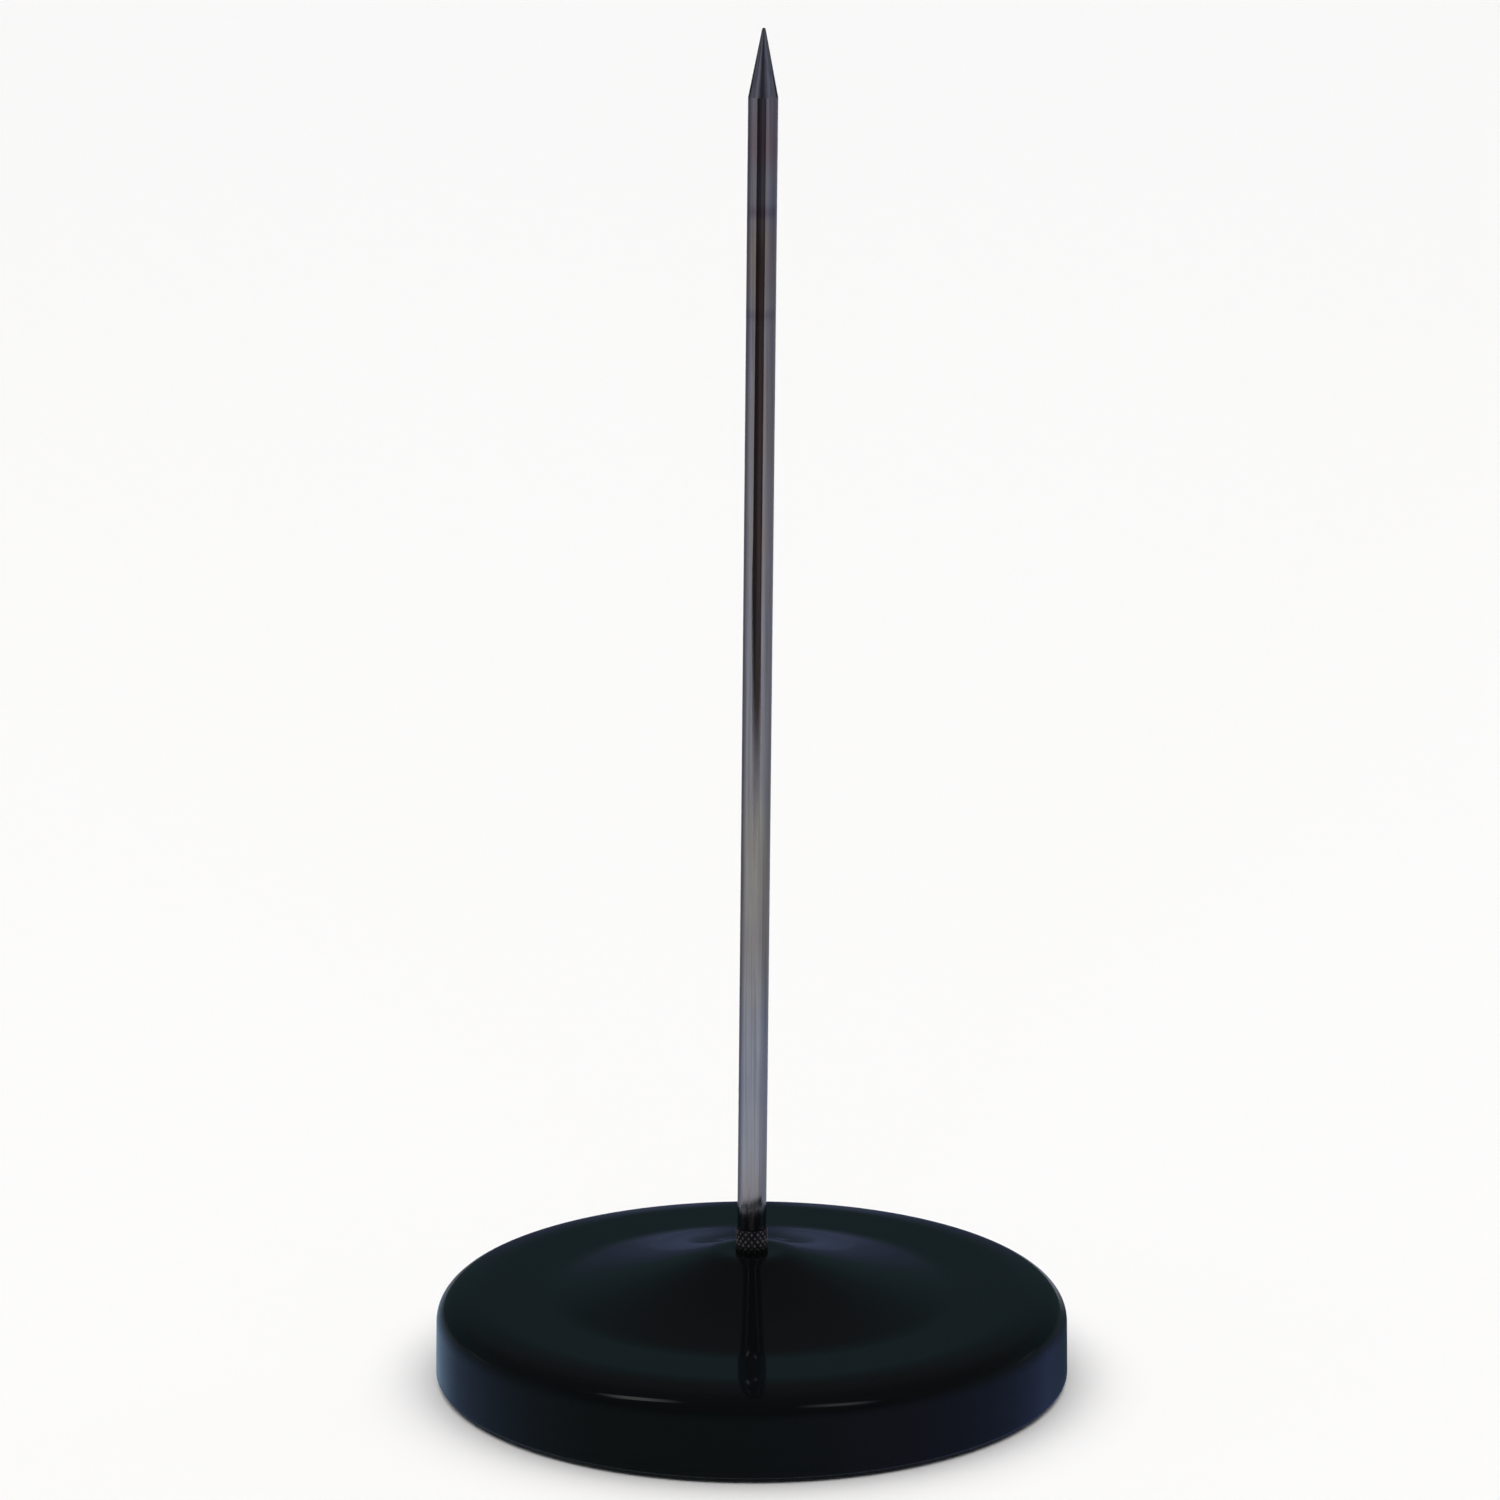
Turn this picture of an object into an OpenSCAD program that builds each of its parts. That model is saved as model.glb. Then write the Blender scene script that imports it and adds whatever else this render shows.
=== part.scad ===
// Bill spike: a pointed steel spike on a round weighted base, for pushing bills and dockets onto.
// Lengths are in millimetres and angles in degrees. The base rests on z = 0, centred on the z axis, and its
// front is towards -y.

/* [Base shell] */

// Outside diameter of the base at the foot of its skirt
base_d = 88; // [80:1:110]
// Thickness of the pressed sheet
sheet_t = 1; // [0.7:0.1:1.4]
// Height of the flat rim above the desk
rim_h = 12; // [10:0.5:16]
// Radius of the gentle fall at the edge of the flat rim
crown_round = 20; // [12:1:40]
// Angle to which the rim falls before the shoulder
crown_turn = 14; // [5:1:18]
// Outside radius of the shoulder between the fall of the rim and the skirt
rim_round = 3.5; // [2.5:0.1:4.5]
// Lean of the skirt from upright
skirt_draft = 1; // [0:0.25:4]
// Height of the skirt's edge above the desk
skirt_gap = 0.4; // [0.2:0.1:1]

/* [Boss] */

// Height of the boss above the rim
boss_rise = 5.8; // [5:0.1:7.5]
// Diameter at which the boss starts to rise from the rim
boss_foot_d = 59; // [52:1:64]
// Diameter of the level land around the spike
boss_land_d = 7.5; // [6:0.5:9]
// Radius between the land and the flank of the boss
boss_round = 8; // [4:0.5:10]
// Radius of the hollow of the flank
flank_round = 130; // [90:5:300]
// Radius between the flank of the boss and the flat rim
foot_round = 20; // [12:1:27]

/* [Spike] */

// Height of the point above the desk
overall_h = 187; // [120:1:240]
// Diameter of the rod
rod_d = 4; // [3:0.1:5]
// Lean of the rod to the right, from the top of its knurl upwards
rod_lean = 0.55; // [0:0.05:2]
// Length of the ground point
point_l = 9.1; // [6:0.1:16]
// Radius left at the very tip
point_r = 0.25; // [0.1:0.05:0.5]
// Length of the knurl that shows above the boss
knurl_show = 3.2; // [1.5:0.1:6]
// Height of the knurl's ridges above the rod, and depth of its grooves below it
knurl_rise = 0.18; // [0.1:0.02:0.3]
// Number of ridges around the knurl
knurl_ridges = 18; // [12:1:24]
// Length over which the rod fills the knurl's grooves at their upper end
knurl_runout = 0.4; // [0.2:0.1:1]
// Bevel at the lower end of the rod
tail_bevel = 0.5; // [0.2:0.1:0.8]

/* [Fastening] */

// Outside diameter of the plain washer
washer_d = 12; // [9:0.5:16]
// Thickness of the plain washer
washer_t = 1; // [0.6:0.1:1.4]
// Width of the spring washer's section
spring_w = 1.6; // [1.2:0.1:2]
// Thickness of the spring washer
spring_t = 0.9; // [0.6:0.1:1.2]
// Width of the split in the spring washer
spring_split = 0.8; // [0.4:0.1:1.5]
// Width of the nut across its flats
nut_flats = 7; // [7:0.5:10]
// Height of the nut
nut_h = 3.2; // [2.2:0.1:4]
// Length of the rod that shows below the nut
tail_show = 0.6; // [0.2:0.1:1]

/* [Weight and pad] */

// Thickness of the felt pad
pad_t = 2; // [1:0.5:3]
// Step from the edge of the weight in to the edge of the pad
pad_step = 1; // [0.5:0.5:3]
// Space between the end of the rod and the pad
tail_gap = 0.4; // [0.2:0.1:1]
// Step from the middle of the shoulder's round in to the edge of the weight
weight_step = 0.5; // [0.3:0.1:2]

/* [Fits] */

// Space around the knurl in the shell
knurl_fit = 0.02; // [0.01:0.01:0.05]
// Space around the rod in the weight and in the nut
rod_fit = 0.05; // [0.03:0.01:0.1]
// Space around the rod in the two washers
washer_fit = 0.15; // [0.1:0.05:0.3]
// Space between the weight and the curved inside of the boss
weight_fit = 0.3; // [0.2:0.05:0.5]
// Space around the plain washer in the recess of the weight
recess_fit = 1; // [0.5:0.1:2]

/* [Hidden] */

$fn = 96;
arc_steps = 10;
// Length by which a cutting tool passes through what it cuts
cut_over = 1;

enamel_black = "#15191b";
drawn_steel = "#8b8b92";
cast_iron = "#3b3a3a";
zinc_plate = "#a9abac";
felt_green = "#2f3b34";

rod_r = rod_d / 2;
land_r = boss_land_d / 2;
foot_r = boss_foot_d / 2;

// Heights, from the desk upwards
tail_z = pad_t + tail_gap;
nut_z = tail_z + tail_show;
spring_z = nut_z + nut_h;
washer_z = spring_z + spring_t;
clamp_z = washer_z + washer_t;
boss_z = rim_h + boss_rise;
hub_z = boss_z - sheet_t;
knurl_top_z = boss_z + knurl_show;

// Middles of the rounded edge of the skirt, of the shoulder above it and of the fall of the rim
edge_mid = [base_d / 2 - sheet_t / 2, skirt_gap + sheet_t / 2];
skirt_out = [cos(skirt_draft), sin(skirt_draft)];
skirt_up = [-sin(skirt_draft), cos(skirt_draft)];
shoulder_start = edge_mid + (sheet_t / 2 - rim_round) * skirt_out;
crown_step = (crown_round - rim_round) * [sin(crown_turn), cos(crown_turn)];
skirt_l = (rim_h - crown_round + crown_step[1] - shoulder_start[1]) / skirt_up[1];
shoulder_mid = shoulder_start + skirt_l * skirt_up;
crown_mid = shoulder_mid - crown_step;

// The flank of the boss is a wide hollow arc, which runs into the rounds at its land and at its foot without
// a crease. The middles of the three arcs are the corners of a triangle with known sides.
land_mid = [land_r, boss_z - boss_round];
foot_mid = [foot_r, rim_h + foot_round];
land_to_foot = foot_mid - land_mid;
land_side = flank_round + boss_round;
foot_side = flank_round - foot_round;
corner = acos((pow(land_side, 2) + pow(norm(land_to_foot), 2) - pow(foot_side, 2))
    / (2 * land_side * norm(land_to_foot)));
land_turn = atan2(land_to_foot[1], land_to_foot[0]) + corner;
flank_mid = land_mid + land_side * [cos(land_turn), sin(land_turn)];
foot_turn = 360 + atan2(foot_mid[1] - flank_mid[1], foot_mid[0] - flank_mid[0]);

// Length of the rod along its own axis, from the top of the knurl
rod_l = (overall_h - knurl_top_z) / cos(rod_lean);

// Sides of the ground point, which run into the round tip without a crease
tip_mid = [0, rod_l - point_r];
tip_run = norm([rod_r, point_l - point_r]);
point_turn = atan2(rod_r, point_l - point_r) - asin(point_r / tip_run);

weight_r = shoulder_mid[0] - weight_step;
pad_r = weight_r - pad_step;
recess_r = washer_d / 2 + recess_fit;
nut_corner_r = nut_flats / 2 / cos(30);
nut_bevel = (nut_corner_r - nut_flats / 2) * tan(30);
spring_mid_r = rod_r + washer_fit + spring_w / 2;
spring_turn = 360 * spring_split / (2 * PI * spring_mid_r);

function arc(middle, r, from, to) =
    [for (i = [0:arc_steps]) let (a = from + (to - from) * i / arc_steps) middle + r * [cos(a), sin(a)]];

function reversed(points) = [for (i = [len(points) - 1:-1:0]) points[i]];

// Curve of the boss from its land to the flat rim, at a depth below the outside of the sheet
function boss_curve(depth) = concat(
    arc(land_mid, boss_round - depth, 90, land_turn),
    arc(flank_mid, flank_round + depth, 180 + land_turn, foot_turn),
    arc(foot_mid, foot_round + depth, foot_turn, 270)
);

// Whole curve of the sheet from the middle of the land to the skirt, at a depth below its outside
function sheet_curve(depth) = concat(
    [[0, boss_z - depth]],
    boss_curve(depth),
    arc(crown_mid, crown_round - depth, 90, 90 - crown_turn),
    arc(shoulder_mid, rim_round - depth, 90 - crown_turn, skirt_draft)
);

// Straight ridges around the rod, as an outline to be drawn out along the z axis
module knurl_outline(space) {
    half_turn = 180 / knurl_ridges;
    polygon([for (i = [0:2 * knurl_ridges - 1])
        let (r = rod_r + space + (i % 2 == 0 ? knurl_rise : -knurl_rise))
        r * [cos(i * half_turn), sin(i * half_turn)]]);
}

// Flat ring around the rod
module rod_ring(outside_r, inside_r, z, t) {
    translate([0, 0, z]) {
        difference() {
            cylinder(r = outside_r, h = t);
            translate([0, 0, -cut_over]) {
                cylinder(r = inside_r, h = t + 2 * cut_over);
            }
        }
    }
}

module base_shell() {
    outline = concat(
        sheet_curve(0),
        arc(edge_mid, sheet_t / 2, skirt_draft, skirt_draft - 180),
        reversed(sheet_curve(sheet_t))
    );
    color(enamel_black) {
        difference() {
            rotate_extrude() {
                polygon(outline);
            }
            translate([0, 0, hub_z - cut_over]) {
                linear_extrude(sheet_t + 2 * cut_over) {
                    knurl_outline(knurl_fit);
                }
            }
        }
    }
}

module spike() {
    shank = concat(
        [[0, -knurl_runout], [rod_r, -knurl_runout], [rod_r, rod_l - point_l]],
        arc(tip_mid, point_r, point_turn, 90)
    );
    tail = [
        [0, tail_z], [rod_r - tail_bevel, tail_z],
        [rod_r, tail_z + tail_bevel], [rod_r, hub_z], [0, hub_z]
    ];
    color(drawn_steel) {
        union() {
            translate([0, 0, knurl_top_z]) {
                rotate([0, rod_lean, 0]) {
                    rotate_extrude() {
                        polygon(shank);
                    }
                }
            }
            translate([0, 0, hub_z]) {
                linear_extrude(knurl_top_z - hub_z) {
                    knurl_outline(0);
                }
            }
            rotate_extrude() {
                polygon(tail);
            }
        }
    }
}

module ballast_weight() {
    bore_r = rod_r + rod_fit;
    outline = concat(
        [[bore_r, clamp_z], [bore_r, hub_z], [land_r, hub_z]],
        boss_curve(sheet_t + weight_fit),
        [[foot_r, rim_h - sheet_t], [crown_mid[0], rim_h - sheet_t]],
        [[weight_r, shoulder_mid[1]], [weight_r, pad_t]],
        [[recess_r, pad_t], [recess_r, clamp_z]]
    );
    color(cast_iron) {
        rotate_extrude() {
            polygon(outline);
        }
    }
}

module plain_washer() {
    color(zinc_plate) {
        rod_ring(washer_d / 2, rod_r + washer_fit, washer_z, washer_t);
    }
}

module spring_washer() {
    color(zinc_plate) {
        translate([0, 0, spring_z]) {
            rotate([0, 0, spring_turn / 2]) {
                rotate_extrude(angle = 360 - spring_turn) {
                    translate([rod_r + washer_fit, 0]) {
                        square([spring_w, spring_t]);
                    }
                }
            }
        }
    }
}

module hex_nut() {
    bevelled = [
        [0, 0], [nut_flats / 2, 0], [nut_corner_r, nut_bevel],
        [nut_corner_r, nut_h - nut_bevel], [nut_flats / 2, nut_h], [0, nut_h]
    ];
    color(zinc_plate) {
        translate([0, 0, nut_z]) {
            difference() {
                intersection() {
                    cylinder(r = nut_corner_r, h = nut_h, $fn = 6);
                    rotate_extrude() {
                        polygon(bevelled);
                    }
                }
                translate([0, 0, -cut_over]) {
                    cylinder(r = rod_r + rod_fit, h = nut_h + 2 * cut_over);
                }
            }
        }
    }
}

module felt_pad() {
    color(felt_green) {
        cylinder(r = pad_r, h = pad_t);
    }
}

base_shell();
spike();
ballast_weight();
plain_washer();
spring_washer();
hex_nut();
felt_pad();
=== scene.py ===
"""Looks of a desk bill spike: a pointed steel spike with a knurled foot on a black enamelled, weighted base."""

import math

import bmesh
import bpy
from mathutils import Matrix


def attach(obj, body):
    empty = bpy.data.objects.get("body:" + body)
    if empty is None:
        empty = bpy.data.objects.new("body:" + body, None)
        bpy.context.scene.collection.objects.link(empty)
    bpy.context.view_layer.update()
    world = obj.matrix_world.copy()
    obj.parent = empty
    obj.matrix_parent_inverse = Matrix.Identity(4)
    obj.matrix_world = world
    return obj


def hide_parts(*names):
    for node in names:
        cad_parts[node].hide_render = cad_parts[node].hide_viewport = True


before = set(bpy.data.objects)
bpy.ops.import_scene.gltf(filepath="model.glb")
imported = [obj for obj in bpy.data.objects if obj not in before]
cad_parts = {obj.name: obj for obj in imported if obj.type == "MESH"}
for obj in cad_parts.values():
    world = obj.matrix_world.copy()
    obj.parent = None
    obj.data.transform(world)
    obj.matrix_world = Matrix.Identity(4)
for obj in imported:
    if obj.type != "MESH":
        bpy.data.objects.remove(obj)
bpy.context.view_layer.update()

MM = 0.001

# Sizes of the solids, in millimetres
BASE_R = 44.0
SHEET_T = 1.0
RIM_H = 12.0
CROWN_ROUND = 20.0
CROWN_TURN = 14.0
RIM_ROUND = 3.5
SKIRT_DRAFT = 1.0
SKIRT_GAP = 0.4
BOSS_RISE = 5.8
BOSS_FOOT_R = 29.5
BOSS_LAND_R = 3.75
BOSS_ROUND = 8.0
FLANK_ROUND = 130.0
FOOT_ROUND = 20.0
BOSS_TOP = RIM_H + BOSS_RISE
HUB_TOP = BOSS_TOP - SHEET_T
ROD_R = 2.0
ROD_LEAN = 0.55
TAIL_Z = 2.4
TAIL_BEVEL = 0.5
SPIKE_TOP = 187.0
POINT_L = 9.1
POINT_R = 0.25
KNURL_START = BOSS_TOP - 0.1
KNURL_TOP = BOSS_TOP + 3.2
KNURL_CREST_R = 2.28
KNURL_ROOT_R = 2.1
KNURL_BORE_R = 1.8
PAD_R = 38.87
PAD_T = 2.0

# Looks of the foot of the spike: the enamelled lip of the hole and the crossed grooves of the knurl
HOLE_R = 2.18
HOLE_LIP = 0.12
KNURL_DIAMONDS = 16
KNURL_ROWS = 3
KNURL_RELIEF = 0.1

# Felt: how far in from its edge the rings of the disc stand, and the rounds of its lower and upper edge
PAD_RINGS = (36.0, 12.0)
PAD_LOWER_ROUND = 0.6
PAD_UPPER_ROUND = 0.3

# Sides of the turned pieces
SHELL_SIDES = 256
SPIKE_SIDES = 96
PAD_SIDES = 192

# Camera of the photograph, in metres and degrees
CAMERA_PLACE = (-0.00024, -0.73862, 0.26368)
CAMERA_DOWN = 13.302
CAMERA_LENS = 133.92
CAMERA_SENSOR = 36

# Studio, in metres: heights of the floor and of the cards that lie on it, and where the collar of cards stands
FLOOR_Z = -0.0002
UNDER_Z = -0.0001
OVER_Z = 0.00005
COLLAR_R = 0.045
RING_R = 0.0455
ROD_CARD_Y = -0.45
ROD_CARD_X = -0.116
ROD_CARD_W = 0.66


def linear(hex_colour, alpha=1.0):
    """An sRGB hex colour as linear red, green, blue and alpha."""
    parts = [int(hex_colour[i:i + 2], 16) / 255 for i in (1, 3, 5)]
    return tuple(c / 12.92 if c <= 0.04045 else ((c + 0.055) / 1.055) ** 2.4 for c in parts) + (alpha,)


def per_metre(size_mm):
    """Texture scale at which one step of a pattern is this many millimetres."""
    return 1000 / size_mm


def add_node(tree, kind, links=None, **settings):
    """Adds a node with its settings, and fills its inputs from values or from other nodes' outputs."""
    made = tree.nodes.new(kind)
    for name, value in settings.items():
        setattr(made, name, value)
    for socket, value in (links or {}).items():
        if isinstance(value, bpy.types.NodeSocket):
            tree.links.new(value, made.inputs[socket])
        else:
            made.inputs[socket].default_value = value
    return made


def new_material(name):
    """An empty material with its shader, its output and the coordinates of the piece in metres."""
    material = bpy.data.materials.new(name)
    material.use_nodes = True
    tree = material.node_tree
    tree.nodes.clear()
    shader = add_node(tree, "ShaderNodeBsdfPrincipled")
    add_node(tree, "ShaderNodeOutputMaterial", {"Surface": shader.outputs["BSDF"]})
    place = add_node(tree, "ShaderNodeTexCoord").outputs["Object"]
    return material, tree, shader, place


def ramp(tree, factor, stops):
    """Outputs of a colour ramp. Its stops, in rising order, are (position, hex colour) or (position, hex colour,
    alpha)."""
    made = add_node(tree, "ShaderNodeValToRGB", {"Fac": factor})
    elements = made.color_ramp.elements
    elements.remove(elements[1])
    elements[0].position = stops[0][0]
    elements[0].color = linear(*stops[0][1:])
    for position, *colour in stops[1:]:
        elements.new(position).color = linear(*colour)
    return made.outputs


def stove_enamel():
    """Black stove enamel on pressed steel: a deep cold black with a wet gloss that ripples very slightly.
    Round the spike the film broke as the knurl went in, and bare steel glints there."""
    material, tree, shader, place = new_material("stove_enamel_black")
    ripple = add_node(tree, "ShaderNodeTexNoise", {"Vector": place, "Scale": per_metre(2.2), "Detail": 1.0})
    haze = add_node(tree, "ShaderNodeTexNoise", {"Vector": place, "Scale": per_metre(16), "Detail": 3.0})
    gloss = add_node(tree, "ShaderNodeMapRange",
                     {"Value": haze.outputs["Fac"], "From Min": 0.3, "From Max": 0.7,
                      "To Min": 0.04, "To Max": 0.08})
    film = ramp(tree, haze.outputs["Fac"], [(0.3, "#060809"), (0.7, "#07090a")])["Color"]
    flat = add_node(tree, "ShaderNodeVectorMath", {0: place, 1: (1, 1, 0)}, operation="MULTIPLY")
    from_axis = add_node(tree, "ShaderNodeVectorMath", {0: flat.outputs["Vector"]}, operation="LENGTH")
    chip = add_node(tree, "ShaderNodeTexNoise", {"Vector": place, "Scale": per_metre(0.9), "Detail": 2.0})
    reach = add_node(tree, "ShaderNodeMath", {0: chip.outputs["Fac"], 1: 0.00038, 2: 0.00192},
                     operation="MULTIPLY_ADD")
    bare = add_node(tree, "ShaderNodeMath", {0: from_axis.outputs["Value"], 1: reach.outputs["Value"]},
                    operation="LESS_THAN")
    colour = add_node(tree, "ShaderNodeMix",
                      {"Factor": bare.outputs["Value"], 6: film, 7: linear("#7d7974")}, data_type="RGBA")
    dulled = add_node(tree, "ShaderNodeMix",
                      {"Factor": bare.outputs["Value"], 2: gloss.outputs["Result"], 3: 0.38})
    bump = add_node(tree, "ShaderNodeBump",
                    {"Height": ripple.outputs["Fac"], "Strength": 0.06, "Distance": 0.00005})
    for socket, value in (("Base Color", colour.outputs[2]), ("Roughness", dulled.outputs[0]),
                          ("Metallic", bare.outputs["Value"]), ("Normal", bump.outputs["Normal"])):
        tree.links.new(value, shader.inputs[socket])
    return material


def drawn_steel():
    """Drawn steel wire, dulled by handling: die lines along the rod and bands of brown and violet tarnish. Its
    colour is also painted darker and tinted towards the point, with two faint darker rings near the top: painted
    shade and painted reflection."""
    material, tree, shader, place = new_material("drawn_steel")
    # Real die lines are far finer; these are drawn 0.45 mm apart so that they show
    along = add_node(tree, "ShaderNodeMapping", {"Vector": place, "Scale": (1, 1, 0.012)})
    lines = add_node(tree, "ShaderNodeTexNoise",
                     {"Vector": along.outputs["Vector"], "Scale": per_metre(0.45), "Detail": 3.0})
    bands = add_node(tree, "ShaderNodeMapping", {"Vector": place, "Scale": (1.5, 1.5, 0.5)})
    tarnish = add_node(tree, "ShaderNodeTexNoise",
                       {"Vector": bands.outputs["Vector"], "Scale": per_metre(9), "Detail": 3.0})
    # Painted shade and painted reflection: the rod darkens and tints with height, with two faint darker rings
    # near the top, for the dimmer surroundings its upper half mirrors
    height = add_node(tree, "ShaderNodeSeparateXYZ", {"Vector": place})
    rise = add_node(tree, "ShaderNodeMapRange",
                    {"Value": height.outputs["Z"], "From Min": 0.02, "From Max": 0.18})
    painted_shade_by_height = ramp(tree, rise.outputs["Result"], [
        (0.0, "#8a8e9c"), (0.10, "#8c919b"), (0.19, "#888e9b"), (0.26, "#8b8a87"), (0.38, "#878888"),
        (0.45, "#878890"), (0.60, "#84858d"), (0.800, "#77767e"), (0.806, "#66636c"), (0.812, "#79767b"),
        (0.842, "#7b7674"),
        (0.875, "#777273"), (0.885, "#747278"), (0.892, "#5f5a69"), (0.900, "#71727a"), (0.918, "#6e7079"),
        (0.945, "#6d626b"), (1.0, "#686a76")])["Color"]
    tint = ramp(tree, tarnish.outputs["Fac"],
                [(0.32, "#efe4da"), (0.5, "#f4f3f2"), (0.68, "#e0dfee")])["Color"]
    shade_and_tarnish = add_node(tree, "ShaderNodeMix", {"Factor": 0.8, 6: painted_shade_by_height, 7: tint},
                       data_type="RGBA", blend_type="MULTIPLY")
    streak = ramp(tree, lines.outputs["Fac"],
                  [(0.36, "#d8d5d4"), (0.5, "#fdfdfd"), (0.64, "#edebef")])["Color"]
    drawn = add_node(tree, "ShaderNodeMix", {"Factor": 0.8, 6: shade_and_tarnish.outputs[2], 7: streak},
                     data_type="RGBA", blend_type="MULTIPLY")
    lined = add_node(tree, "ShaderNodeMapRange",
                     {"Value": lines.outputs["Fac"], "From Min": 0.3, "From Max": 0.7,
                      "To Min": 0.04, "To Max": 0.09})
    bump = add_node(tree, "ShaderNodeBump",
                    {"Height": lines.outputs["Fac"], "Strength": 0.12, "Distance": 0.00003})
    shader.inputs["Metallic"].default_value = 1.0
    for socket, value in (("Base Color", drawn.outputs[2]), ("Roughness", lined.outputs["Result"]),
                          ("Normal", bump.outputs["Normal"])):
        tree.links.new(value, shader.inputs[socket])
    return material


def knurled_steel():
    """Rolled knurl: crests lighter with wear over grooves painted darker as painted shade, and painted black
    towards the boss as painted shade where the knurl meets it.
    """
    material, tree, shader, place = new_material("knurled_steel")
    flat = add_node(tree, "ShaderNodeVectorMath", {0: place, 1: (1, 1, 0)}, operation="MULTIPLY")
    from_axis = add_node(tree, "ShaderNodeVectorMath", {0: flat.outputs["Vector"]}, operation="LENGTH")
    grime = add_node(tree, "ShaderNodeTexNoise", {"Vector": place, "Scale": per_metre(0.9), "Detail": 3.0})
    # Painted shade in the grooves: darker towards the root of the knurl, and lighter on the crests with wear
    depth = add_node(tree, "ShaderNodeMapRange",
                     {"Value": from_axis.outputs["Value"], "From Min": KNURL_ROOT_R * MM,
                      "From Max": KNURL_CREST_R * MM})
    crest_wear_and_groove_shade = add_node(tree, "ShaderNodeMath", {0: grime.outputs["Fac"], 1: 1.1, 2: depth.outputs["Result"]},
                    operation="MULTIPLY_ADD")
    wear_and_shade_colour = ramp(tree, crest_wear_and_groove_shade.outputs["Value"],
                  [(0.45, "#1b1b1d"), (0.9, "#2d2c30"), (1.5, "#67646b")])["Color"]
    height = add_node(tree, "ShaderNodeSeparateXYZ", {"Vector": place})
    # Painted shade where the knurl meets the boss: black towards its foot
    painted_shade_at_boss = add_node(tree, "ShaderNodeMapRange",
                    {"Value": height.outputs["Z"], "From Min": (BOSS_TOP + 1.2) * MM,
                     "From Max": (BOSS_TOP + 0.5) * MM})
    colour = add_node(tree, "ShaderNodeMix",
                      {"Factor": painted_shade_at_boss.outputs["Result"], 6: wear_and_shade_colour, 7: linear("#121313")},
                      data_type="RGBA").outputs[2]
    rough = add_node(tree, "ShaderNodeMapRange",
                     {"Value": crest_wear_and_groove_shade.outputs["Value"], "From Min": 0.5, "From Max": 1.5,
                      "To Min": 0.6, "To Max": 0.4})
    bump = add_node(tree, "ShaderNodeBump",
                    {"Height": grime.outputs["Fac"], "Strength": 0.4, "Distance": 0.00006})
    shader.inputs["Metallic"].default_value = 0.55
    for socket, value in (("Base Color", colour), ("Roughness", rough.outputs["Result"]),
                          ("Normal", bump.outputs["Normal"])):
        tree.links.new(value, shader.inputs[socket])
    return material


def cast_iron():
    """Grey cast iron as it left the sand: dull, dark and grainy, with a bloom of rust."""
    material, tree, shader, place = new_material("cast_iron")
    sand = add_node(tree, "ShaderNodeTexNoise", {"Vector": place, "Scale": per_metre(0.8), "Detail": 4.0})
    bloom = add_node(tree, "ShaderNodeTexNoise", {"Vector": place, "Scale": per_metre(12), "Detail": 4.0})
    colour = ramp(tree, bloom.outputs["Fac"],
                  [(0.35, "#3c3a39"), (0.6, "#45403c"), (0.75, "#5a4638")])["Color"]
    bump = add_node(tree, "ShaderNodeBump",
                    {"Height": sand.outputs["Fac"], "Strength": 0.7, "Distance": 0.00025})
    shader.inputs["Metallic"].default_value = 0.6
    shader.inputs["Roughness"].default_value = 0.68
    tree.links.new(colour, shader.inputs["Base Color"])
    tree.links.new(bump.outputs["Normal"], shader.inputs["Normal"])
    return material


def zinc_plate():
    """Bright zinc plate: pale bluish metal with faint spangle and a slight bloom."""
    material, tree, shader, place = new_material("zinc_plate")
    spangle = add_node(tree, "ShaderNodeTexVoronoi", {"Vector": place, "Scale": per_metre(1.4)})
    bloom = add_node(tree, "ShaderNodeTexNoise", {"Vector": place, "Scale": per_metre(3), "Detail": 3.0})
    colour = ramp(tree, bloom.outputs["Fac"], [(0.35, "#a3a6a8"), (0.65, "#b9bbb8")])["Color"]
    rough = add_node(tree, "ShaderNodeMapRange",
                     {"Value": spangle.outputs["Distance"], "To Min": 0.24, "To Max": 0.4})
    bump = add_node(tree, "ShaderNodeBump",
                    {"Height": bloom.outputs["Fac"], "Strength": 0.15, "Distance": 0.00005})
    shader.inputs["Metallic"].default_value = 1.0
    for socket, value in (("Base Color", colour), ("Roughness", rough.outputs["Result"]),
                          ("Normal", bump.outputs["Normal"])):
        tree.links.new(value, shader.inputs[socket])
    return material


def wool_felt():
    """Pressed wool felt: matted fibres in uneven greens, with a soft edge of light at a low angle."""
    material, tree, shader, place = new_material("wool_felt")
    clumps = add_node(tree, "ShaderNodeTexNoise",
                      {"Vector": place, "Scale": per_metre(1.6), "Detail": 4.0, "Distortion": 1.5})
    # Wool fibres are far finer than 0.35 mm and are drawn this coarse so that they show
    fibres = add_node(tree, "ShaderNodeTexNoise",
                      {"Vector": place, "Scale": per_metre(0.35), "Detail": 3.0, "Distortion": 2.5})
    colour = ramp(tree, clumps.outputs["Fac"],
                  [(0.3, "#1d2822"), (0.55, "#2c3a32"), (0.75, "#3d4c42")])["Color"]
    bump = add_node(tree, "ShaderNodeBump",
                    {"Height": fibres.outputs["Fac"], "Strength": 0.8, "Distance": 0.0003})
    shader.inputs["Roughness"].default_value = 0.95
    shader.inputs["Sheen Weight"].default_value = 0.35
    shader.inputs["Sheen Roughness"].default_value = 0.5
    tree.links.new(colour, shader.inputs["Base Color"])
    tree.links.new(bump.outputs["Normal"], shader.inputs["Normal"])
    return material


def arc(middle, radius, start, end, steps):
    """Points of an arc in the plane of radius and height, from one angle to another in degrees."""
    angles = [math.radians(start + (end - start) * i / steps) for i in range(steps + 1)]
    return [(middle[0] + radius * math.cos(a), middle[1] + radius * math.sin(a)) for a in angles]


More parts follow.
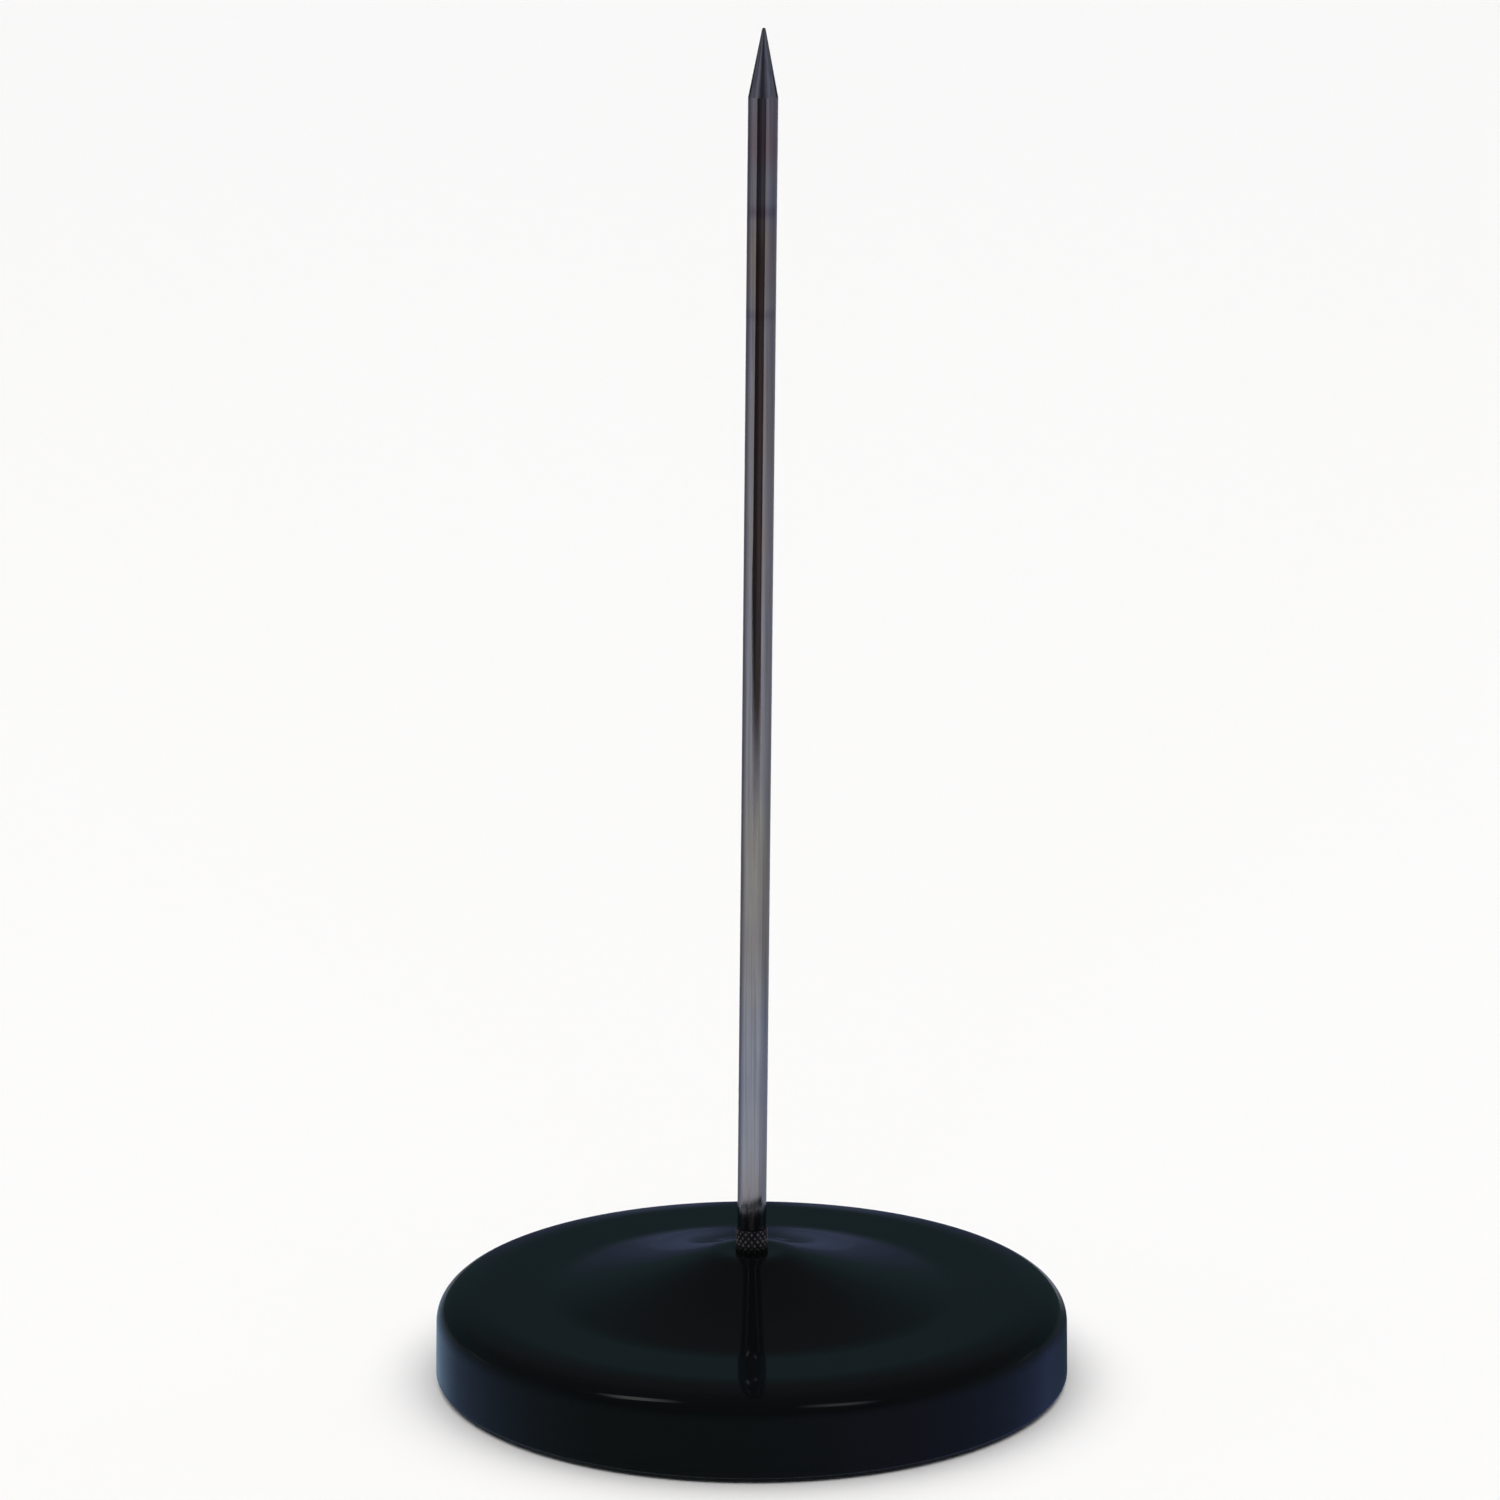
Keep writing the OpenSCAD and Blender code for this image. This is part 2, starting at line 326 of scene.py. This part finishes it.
def turn_on_axis(name, outline, sides):
    """Turns an outline of (radius, height) points, in millimetres, on the Z axis.
    A circle is drawn out ring by ring, and left in edit mode with its last ring selected."""
    bpy.ops.object.select_all(action="DESELECT")
    radius, height = outline[0]
    bpy.ops.mesh.primitive_circle_add(vertices=sides, radius=radius * MM, location=(0, 0, height * MM))
    piece = bpy.context.object
    piece.name = piece.data.name = name
    bpy.ops.object.mode_set(mode="EDIT")
    bpy.ops.mesh.select_all(action="SELECT")
    for next_radius, next_height in outline[1:]:
        bpy.ops.mesh.extrude_region_move(TRANSFORM_OT_translate={"value": (0, 0, (next_height - height) * MM)})
        grow = next_radius / radius
        bpy.ops.transform.resize(value=(grow, grow, 1), center_override=(0, 0, next_height * MM))
        radius, height = next_radius, next_height
    return piece


def select_open_edges():
    """Selects only the edges where the skin of the piece being edited is still open."""
    bpy.ops.mesh.select_all(action="DESELECT")
    bpy.ops.mesh.select_non_manifold()


def finish_piece(piece, material, replaced, crease=35):
    """Closes seams, turns faces outwards, and puts the piece on its body with its finish."""
    bpy.ops.mesh.select_all(action="SELECT")
    bpy.ops.mesh.remove_doubles(threshold=1e-6)
    bpy.ops.mesh.normals_make_consistent(inside=False)
    bpy.ops.object.mode_set(mode="OBJECT")
    bpy.ops.object.transform_apply(location=True, rotation=True, scale=True)
    bpy.ops.object.shade_smooth_by_angle(angle=math.radians(crease))
    piece.data.materials.clear()
    piece.data.materials.append(material)
    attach(piece, "root")
    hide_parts(replaced)
    return piece


def boss_curve(depth):
    """The boss at a depth below the outside of the sheet: a round at its land, a wide hollow flank and a round
    at its foot. The middles of the three arcs are the corners of a triangle with known sides."""
    land_mid = (BOSS_LAND_R, BOSS_TOP - BOSS_ROUND)
    foot_mid = (BOSS_FOOT_R, RIM_H + FOOT_ROUND)
    run, rise = foot_mid[0] - land_mid[0], foot_mid[1] - land_mid[1]
    land_side, foot_side = FLANK_ROUND + BOSS_ROUND, FLANK_ROUND - FOOT_ROUND
    apart = math.hypot(run, rise)
    corner = math.acos((land_side ** 2 + apart ** 2 - foot_side ** 2) / (2 * land_side * apart))
    land_turn = math.atan2(rise, run) + corner
    flank_mid = (land_mid[0] + land_side * math.cos(land_turn),
                 land_mid[1] + land_side * math.sin(land_turn))
    land_turn = math.degrees(land_turn)
    foot_turn = 360 + math.degrees(math.atan2(foot_mid[1] - flank_mid[1], foot_mid[0] - flank_mid[0]))
    return (arc(land_mid, BOSS_ROUND - depth, 90, land_turn, 12)
            + arc(flank_mid, FLANK_ROUND + depth, 180 + land_turn, foot_turn, 16)[1:]
            + arc(foot_mid, FOOT_ROUND + depth, foot_turn, 270, 12)[1:])


def base_shell(material):
    """The pressed shell: lip of the hole, boss, flat rim, its gentle fall, shoulder, skirt, and the inside."""
    draft, fall = math.radians(SKIRT_DRAFT), math.radians(CROWN_TURN)
    edge_r = SHEET_T / 2
    edge = (BASE_R - edge_r, SKIRT_GAP + edge_r)
    start = (edge[0] + (edge_r - RIM_ROUND) * math.cos(draft), edge[1] + (edge_r - RIM_ROUND) * math.sin(draft))
    crown_z = RIM_H - CROWN_ROUND
    shoulder_z = crown_z + (CROWN_ROUND - RIM_ROUND) * math.cos(fall)
    shoulder = (start[0] - (shoulder_z - start[1]) * math.tan(draft), shoulder_z)
    crown = (shoulder[0] - (CROWN_ROUND - RIM_ROUND) * math.sin(fall), crown_z)
    outside = (boss_curve(0)
               + arc(crown, CROWN_ROUND, 90, 90 - CROWN_TURN, 14)
               + arc(shoulder, RIM_ROUND, 90 - CROWN_TURN, SKIRT_DRAFT, 22)[1:]
               + arc(edge, edge_r, SKIRT_DRAFT, SKIRT_DRAFT - 180, 14))
    inside = (boss_curve(SHEET_T)
              + arc(crown, CROWN_ROUND - SHEET_T, 90, 90 - CROWN_TURN, 8)
              + arc(shoulder, RIM_ROUND - SHEET_T, 90 - CROWN_TURN, SKIRT_DRAFT, 12)[1:])
    lip = arc((HOLE_R + HOLE_LIP, BOSS_TOP - HOLE_LIP), HOLE_LIP, 180, 90, 6)
    outline = [(HOLE_R, HUB_TOP)] + lip + outside + inside[::-1] + [(HOLE_R, HUB_TOP)]
    shell = turn_on_axis("enamelled_shell", outline, SHELL_SIDES)
    return finish_piece(shell, material, "base_shell")


def steel_spike(material):
    """The rod with its bevelled tail, a waist inside the knurl, and the ground point with its blunted tip.
    It leans to the right from the knurl upwards."""
    lean = math.radians(ROD_LEAN)
    tip = KNURL_TOP + (SPIKE_TOP - KNURL_TOP) / math.cos(lean)
    point = tip - POINT_L
    tip_mid = (0.0, tip - POINT_R)
    reach = math.hypot(ROD_R, POINT_L - POINT_R)
    turn = math.degrees(math.atan2(ROD_R, POINT_L - POINT_R) - math.asin(POINT_R / reach))
    waist = KNURL_ROOT_R - KNURL_RELIEF
    outline = ([(ROD_R - TAIL_BEVEL, TAIL_Z), (ROD_R, TAIL_Z + TAIL_BEVEL), (ROD_R, HUB_TOP), (waist, HUB_TOP)]
               + [(waist, KNURL_TOP - 0.05), (ROD_R - 0.06, KNURL_TOP), (ROD_R, KNURL_TOP + 0.15)]
               + [(ROD_R, KNURL_TOP + 0.6), (ROD_R, point - 0.6), (ROD_R, point)]
               + arc(tip_mid, POINT_R, turn, 87, 12))
    spike = turn_on_axis("steel_spike", outline, SPIKE_SIDES)
    bpy.ops.mesh.edge_face_add()
    select_open_edges()
    bpy.ops.mesh.edge_face_add()
    bpy.ops.mesh.select_all(action="DESELECT")
    for corner in bmesh.from_edit_mesh(spike.data).verts:
        corner.select = corner.co.z > (KNURL_TOP - 0.01) * MM
    bpy.ops.transform.rotate(value=-lean, orient_axis="Y", center_override=(0, 0, KNURL_TOP * MM))
    return finish_piece(spike, material, "spike", 9)


def knurl_band(material):
    """The knurl: rows of squares poked into diamonds, and each diamond poked again into a low pyramid."""
    tall = KNURL_TOP - KNURL_START
    rows = [(KNURL_ROOT_R, KNURL_START + tall * i / KNURL_ROWS) for i in range(KNURL_ROWS + 1)]
    band = turn_on_axis("knurl_band", rows, KNURL_DIAMONDS)
    bpy.ops.mesh.select_all(action="SELECT")
    bpy.ops.mesh.poke()
    skin = bmesh.from_edit_mesh(band.data)
    bpy.ops.mesh.select_all(action="DESELECT")
    for edge in skin.edges:
        low, high = edge.verts
        level = abs(low.co.z - high.co.z) < 1e-7
        upright = (low.co.xy - high.co.xy).length < 1e-7
        edge.select = (level or upright) and not edge.is_boundary
    bmesh.update_edit_mesh(band.data)
    bpy.ops.mesh.dissolve_edges(use_verts=False)
    bpy.ops.object.mode_set(mode="OBJECT")
    rounding = band.modifiers.new("rounding", "CAST")
    rounding.cast_type = "CYLINDER"
    rounding.use_z = False
    rounding.use_radius_as_size = False
    rounding.size = KNURL_ROOT_R * MM
    rounding.factor = 1.0
    bpy.ops.object.modifier_apply(modifier="rounding")
    bpy.ops.object.mode_set(mode="EDIT")
    bpy.ops.mesh.select_all(action="SELECT")
    bpy.ops.mesh.normals_make_consistent(inside=False)
    bpy.ops.mesh.poke(offset=(KNURL_CREST_R - KNURL_ROOT_R) * MM)
    select_open_edges()
    bpy.ops.mesh.extrude_region_move()
    inward = KNURL_BORE_R / KNURL_ROOT_R
    bpy.ops.transform.resize(value=(inward, inward, 1), center_override=(0, 0, 0))
    select_open_edges()
    bpy.ops.mesh.bridge_edge_loops()
    return finish_piece(band, material, "spike", 20)


def felt_pad(material):
    """The felt disc with soft rounded edges."""
    rings = [PAD_R - step for step in PAD_RINGS]
    lower, upper = PAD_LOWER_ROUND, PAD_UPPER_ROUND
    outline = ([(r, 0.0) for r in rings] + arc((PAD_R - lower, lower), lower, 270, 360, 6)
               + arc((PAD_R - upper, PAD_T - upper), upper, 0, 90, 4) + [(r, PAD_T) for r in rings[::-1]])
    pad = turn_on_axis("felt_disc", outline, PAD_SIDES)
    bpy.ops.mesh.merge(type="CENTER")
    select_open_edges()
    bpy.ops.mesh.merge(type="CENTER")
    finish_piece(pad, material, "felt_pad", 60)
    return pad


def card_paint(name, stops, along, fade=None):
    """What a card shows to the gloss of the object: hex colours that glow evenly, in steps along one direction.
    The steps are (place in metres, colour, cover) and melt into one another; cover 0 is clear, 1 is solid.
    Along "angle" they go round the spike in turns: 0 left, 0.25 front, 0.5 right, 0.75 back.
    A fade is (direction, place where the card is still solid, place where it is clear)."""
    paint = bpy.data.materials.new(name)
    paint.use_nodes = True
    tree = paint.node_tree
    tree.nodes.clear()
    place = add_node(tree, "ShaderNodeTexCoord").outputs["Object"]
    if along == "angle":
        way = add_node(tree, "ShaderNodeTexGradient", {"Vector": place}, gradient_type="RADIAL").outputs["Fac"]
    else:
        way = add_node(tree, "ShaderNodeVectorMath", {0: place, 1: along},
                       operation="DOT_PRODUCT").outputs["Value"]
    first, last = stops[0][0], stops[-1][0]
    reach = add_node(tree, "ShaderNodeMapRange", {"Value": way, "From Min": first, "From Max": last})
    steps = ramp(tree, reach.outputs["Result"],
                 [((where - first) / (last - first), colour, cover) for where, colour, cover in stops])
    cover = steps["Alpha"]
    if fade:
        over = add_node(tree, "ShaderNodeVectorMath", {0: place, 1: fade[0]}, operation="DOT_PRODUCT")
        left = add_node(tree, "ShaderNodeMapRange",
                        {"Value": over.outputs["Value"], "From Min": fade[1], "From Max": fade[2],
                         "To Min": 1.0, "To Max": 0.0})
        cover = add_node(tree, "ShaderNodeMath", {0: cover, 1: left.outputs["Result"]},
                         operation="MULTIPLY").outputs[0]
    glow = add_node(tree, "ShaderNodeEmission", {"Color": steps["Color"], "Strength": 1.0})
    clear = add_node(tree, "ShaderNodeBsdfTransparent")
    mixed = add_node(tree, "ShaderNodeMixShader",
                     {0: cover, 1: clear.outputs["BSDF"], 2: glow.outputs["Emission"]})
    add_node(tree, "ShaderNodeOutputMaterial", {"Surface": mixed.outputs["Shader"]})
    return paint


def hang_card(name, paint):
    """Makes the new mesh a studio card that only reflections meet: it casts no shadow and lights nothing."""
    card = bpy.context.object
    card.name = card.data.name = name
    bpy.ops.object.transform_apply(location=True, rotation=True, scale=True)
    card.data.materials.append(paint)
    card.visible_camera = False
    card.visible_diffuse = False
    card.visible_shadow = False
    card.visible_transmission = False


def draw_ring(sides, radius, height, outer=None, wall=None):
    """Draws a circle round the object, widened to an outer radius, drawn up into a wall, or both."""
    bpy.ops.mesh.primitive_circle_add(vertices=sides, radius=radius, location=(0, 0, height))
    bpy.ops.object.mode_set(mode="EDIT")
    bpy.ops.mesh.select_all(action="SELECT")
    if outer:
        bpy.ops.mesh.extrude_region_move()
        bpy.ops.transform.resize(value=(outer / radius, outer / radius, 1), center_override=(0, 0, 0))
    if wall:
        bpy.ops.mesh.extrude_region_move(TRANSFORM_OT_translate={"value": (0, 0, wall)})
    bpy.ops.object.mode_set(mode="OBJECT")


def draw_card(place, width, length, tilt_x=0, tilt_y=0):
    """Draws a flat card of a width and length, tilted from level by angles in degrees."""
    bpy.ops.mesh.primitive_plane_add(size=1, location=place,
                                     rotation=(math.radians(tilt_x), math.radians(tilt_y), 0))
    bpy.context.object.scale = (width, length, 1)


def pale_floor():
    """The plain pale floor, in matt paper."""
    bpy.ops.object.select_all(action="DESELECT")
    bpy.ops.mesh.primitive_plane_add(size=10, location=(0, 0, FLOOR_Z))
    floor = bpy.context.object
    floor.name = floor.data.name = "floor"
    bpy.ops.object.transform_apply(location=True)
    paper, _, shader, _ = new_material("pale_paper")
    shader.inputs["Base Color"].default_value = linear("#f8f6f5")
    shader.inputs["Roughness"].default_value = 0.9
    shader.inputs["Specular IOR Level"].default_value = 0.1
    floor.data.materials.append(paper)


def base_cards():
    """Cards close round the base, which its skirt and shoulder and the foot of the rod mirror."""
    across, upright = (1, 0, 0), (0, 0, 1)

    # Collar close round the skirt: dark in front, cold at the sides, as the black gloss shows in daylight
    draw_ring(128, 0.041, UNDER_Z, outer=COLLAR_R, wall=0.0107)
    hang_card("dark_collar", card_paint("collar_paint", [
        (-0.045, "#7e97b1", 1), (-0.0422, "#5d708e", 1), (-0.023, "#505c5e", 1), (0.0, "#505b5d", 1),
        (0.023, "#586078", 1), (0.0422, "#576792", 1), (0.045, "#33404f", 1)],
        across, fade=(upright, 0.0083, 0.0106)))

    # Darker ring behind the soft top of the collar, so that the shoulder turns darker than the skirt in front
    draw_ring(128, 0.0453, 0.006, wall=0.0047)
    hang_card("shoulder_shade", card_paint("shoulder_shade_paint", [
        (0.0, "#4a5456", 1), (0.1, "#4a5456", 1), (0.17, "#2c3436", 1), (0.32, "#2c3436", 1),
        (0.38, "#4a5456", 1), (0.5, "#4a5456", 1), (0.54, "#4a5456", 0), (0.96, "#4a5456", 0),
        (1.0, "#4a5456", 1)], "angle"))

    # Shade on the floor beside and behind the object, for the edges of the rod
    draw_ring(96, 0.05, UNDER_Z, outer=2.0)
    hang_card("floor_shade", card_paint("floor_shade_paint", [
        (0.0, "#e4e5ea", 1), (0.045, "#fbfbfb", 0), (0.345, "#fbfbfb", 0), (0.397, "#e6e6ea", 1),
        (0.456, "#d2d3da", 1), (0.519, "#c4c5ce", 1), (0.606, "#b4b6c2", 1), (0.69, "#a6a9b6", 1),
        (0.71, "#2c383e", 1), (0.73, "#465069", 1), (0.743, "#465069", 1), (0.748, "#343b4c", 1),
        (0.752, "#343b4c", 1), (0.757, "#465069", 1), (0.77, "#465069", 1), (0.79, "#2c383e", 1),
        (0.81, "#8a8c98", 1), (0.894, "#8e909b", 1), (1.0, "#e4e5ea", 1)], "angle"))

    # Darker floor close beside and behind the base, which the edge of its shoulder mirrors
    draw_ring(96, RING_R, OVER_Z, outer=0.07189)
    hang_card("near_shade", card_paint("near_shade_paint", [
        (0.0, "#2c343a", 1), (0.06, "#2c343a", 0), (0.42, "#2c343a", 0), (0.48, "#2c343a", 1),
        (1.0, "#2c343a", 1)], "angle"))

    # Shade on the floor before the base, which makes the black foot of the rod a little taller
    draw_ring(96, RING_R, OVER_Z, outer=0.080535)
    hang_card("front_shade", card_paint("front_shade_paint", [
        (0.0, "#181c1e", 0), (0.04, "#181c1e", 1), (0.46, "#181c1e", 1), (0.5, "#181c1e", 0),
        (1.0, "#181c1e", 0)], "angle"))

    # Cold card far behind, which the far side of the boss mirrors
    draw_card((0, 2, 0.27), 0.62, 0.54, tilt_x=90)
    hang_card("cold_card", card_paint("cold_paint", [
        (-0.31, "#3c4358", 1), (-0.16, "#3f475c", 1), (-0.09, "#4e5871", 1), (-0.05, "#4e5871", 1),
        (-0.015, "#343b4c", 1), (0.015, "#343b4c", 1), (0.05, "#4e5871", 1), (0.09, "#4e5871", 1),
        (0.16, "#3f475c", 1), (0.31, "#3c4358", 1)], across, fade=(upright, 0.15, 0.5)))


def rod_cards():
    """Cards before the upper half of the rod: a brown one with a soft foot, a plain dark one above it, and a
    pale one with a dark middle for the ground point. Two small pale ones give the glints on the shoulder."""
    across, forward = (1, 0, 0), (0, 1, 0)
    brown = [(-0.446, "#463f3e", 1), (-0.17, "#4a4241", 1), (-0.028, "#7a6a65", 1), (0.07, "#7a6a65", 1),
             (0.17, "#564d4c", 1), (0.214, "#564d4c", 1)]
    draw_card((ROD_CARD_X, ROD_CARD_Y, 0.0475), ROD_CARD_W, 0.095, tilt_x=90)
    hang_card("brown_card", card_paint("brown_paint", brown, across))
    draw_card((ROD_CARD_X, -0.375, 0), ROD_CARD_W, 0.15)
    hang_card("brown_foot", card_paint("brown_foot_paint", brown, across, fade=(forward, -0.415, -0.303)))
    draw_card((ROD_CARD_X, ROD_CARD_Y, 0.1225), ROD_CARD_W, 0.055, tilt_x=90)
    hang_card("dark_card", card_paint("dark_paint", [
        (-0.446, "#5a595c", 1), (-0.12, "#686669", 1), (0.0, "#8a888b", 1), (0.1, "#7c7a7d", 1),
        (0.214, "#7a787b", 1)], across))
    draw_card((0, -0.1, 0.225), 0.5, 0.045, tilt_x=105)
    hang_card("point_card", card_paint("point_paint", [
        (-0.25, "#e4e4e8", 1), (-0.1, "#efeff2", 1), (-0.04, "#767478", 1), (0.004, "#706e71", 1),
        (0.05, "#c4c3c8", 1), (0.1, "#e6e6ea", 1), (0.25, "#e4e4e8", 1)], across))
    for name, place, tilt, glint in (("left_glint", (-0.053, -0.06, 0.0761), (10, -9.5), "#fbfcfc"),
                                     ("right_glint", (0.0457, -0.0806, 0.0685), (12, 7), "#c3c7cb")):
        middle = place[0]
        draw_card(place, 0.048, 0.0165, *tilt)
        hang_card(name, card_paint(name + "_paint", [
            (middle - 0.024, glint, 0), (middle - 0.006, glint, 1), (middle + 0.006, glint, 1),
            (middle + 0.024, glint, 0)], across))


def soft_lamp(name, kind, place, strength, size):
    """A lamp that points at the object and doesn't show in its gloss: a wide sun, sized in degrees, or an area,
    sized in metres."""
    light = bpy.data.lights.new(name, kind)
    light.energy = strength
    if kind == "SUN":
        light.angle = math.radians(size)
    else:
        light.shape = "RECTANGLE"
        light.size, light.size_y = size
    holder = bpy.data.objects.new(name, light)
    bpy.context.scene.collection.objects.link(holder)
    holder.location = place
    holder.rotation_euler = (-holder.location).to_track_quat("-Z", "Y").to_euler()
    holder.visible_glossy = False


def dim_room():
    """The room round the studio: dim and cold, darker overhead, with pale walls low down on both sides."""
    world = bpy.data.worlds.new("studio")
    bpy.context.scene.world = world
    world.use_nodes = True
    tree = world.node_tree
    tree.nodes.clear()
    way = add_node(tree, "ShaderNodeTexCoord").outputs["Generated"]
    facing = add_node(tree, "ShaderNodeSeparateXYZ", {"Vector": way})
    to_back = add_node(tree, "ShaderNodeMapRange",
                       {"Value": facing.outputs["Y"], "From Min": -0.6, "From Max": 0.6})
    room = ramp(tree, to_back.outputs["Result"],
                [(0.0, "#3a4144"), (0.5, "#475154"), (1.0, "#35474d")])["Color"]
    overhead = add_node(tree, "ShaderNodeMapRange",
                        {"Value": facing.outputs["Z"], "From Min": 0.38, "From Max": 0.6})
    room = add_node(tree, "ShaderNodeMix",
                    {"Factor": overhead.outputs["Result"], 6: room, 7: linear("#3a3e40")},
                    data_type="RGBA").outputs[2]
    low_down = add_node(tree, "ShaderNodeMapRange",
                        {"Value": facing.outputs["Z"], "From Min": 0.3, "From Max": 0.2})
    from_side = add_node(tree, "ShaderNodeMath", {0: facing.outputs["Y"]}, operation="ABSOLUTE")
    beside = add_node(tree, "ShaderNodeMapRange",
                      {"Value": from_side.outputs[0], "From Min": 0.58, "From Max": 0.38})
    wall = add_node(tree, "ShaderNodeMath", {0: low_down.outputs["Result"], 1: beside.outputs["Result"]},
                    operation="MULTIPLY")
    room = add_node(tree, "ShaderNodeMix", {"Factor": wall.outputs[0], 6: room, 7: linear("#c2c3c8")},
                    data_type="RGBA").outputs[2]
    glow = add_node(tree, "ShaderNodeBackground", {"Color": room, "Strength": 1.0})
    add_node(tree, "ShaderNodeOutputWorld", {"Surface": glow.outputs["Background"]})


def photo_camera():
    """The photograph's view: a long lens above the front of the base, with the whole spike in its frame."""
    camera = bpy.data.cameras.new("photo_camera")
    camera.lens = CAMERA_LENS
    camera.sensor_width = CAMERA_SENSOR
    camera.clip_start, camera.clip_end = 0.01, 50
    holder = bpy.data.objects.new("photo_camera", camera)
    bpy.context.scene.collection.objects.link(holder)
    holder.location = CAMERA_PLACE
    holder.rotation_euler = (math.radians(90 - CAMERA_DOWN), 0, 0)
    bpy.context.scene.camera = holder


bpy.ops.object.select_all(action="DESELECT")
photo_camera()
pale_floor()
base_cards()
rod_cards()
soft_lamp("soft_top", "SUN", (0, 0.3, 2), 3.15, 100)
soft_lamp("soft_left", "AREA", (-0.71, -0.364, 1.15), 0.24, (0.5, 0.2))
soft_lamp("soft_right", "AREA", (0.61, -0.68, 0.98), 0.07, (0.4, 0.2))
dim_room()

base_shell(stove_enamel())
steel_spike(drawn_steel())
knurl_band(knurled_steel())
felt_pad(wool_felt())

zinc = zinc_plate()
for node_name, finish in (("ballast_weight", cast_iron()), ("plain_washer", zinc),
                          ("spring_washer", zinc), ("hex_nut", zinc)):
    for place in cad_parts[node_name].material_slots:
        place.material = finish

bpy.context.scene.view_settings.view_transform = "Standard"
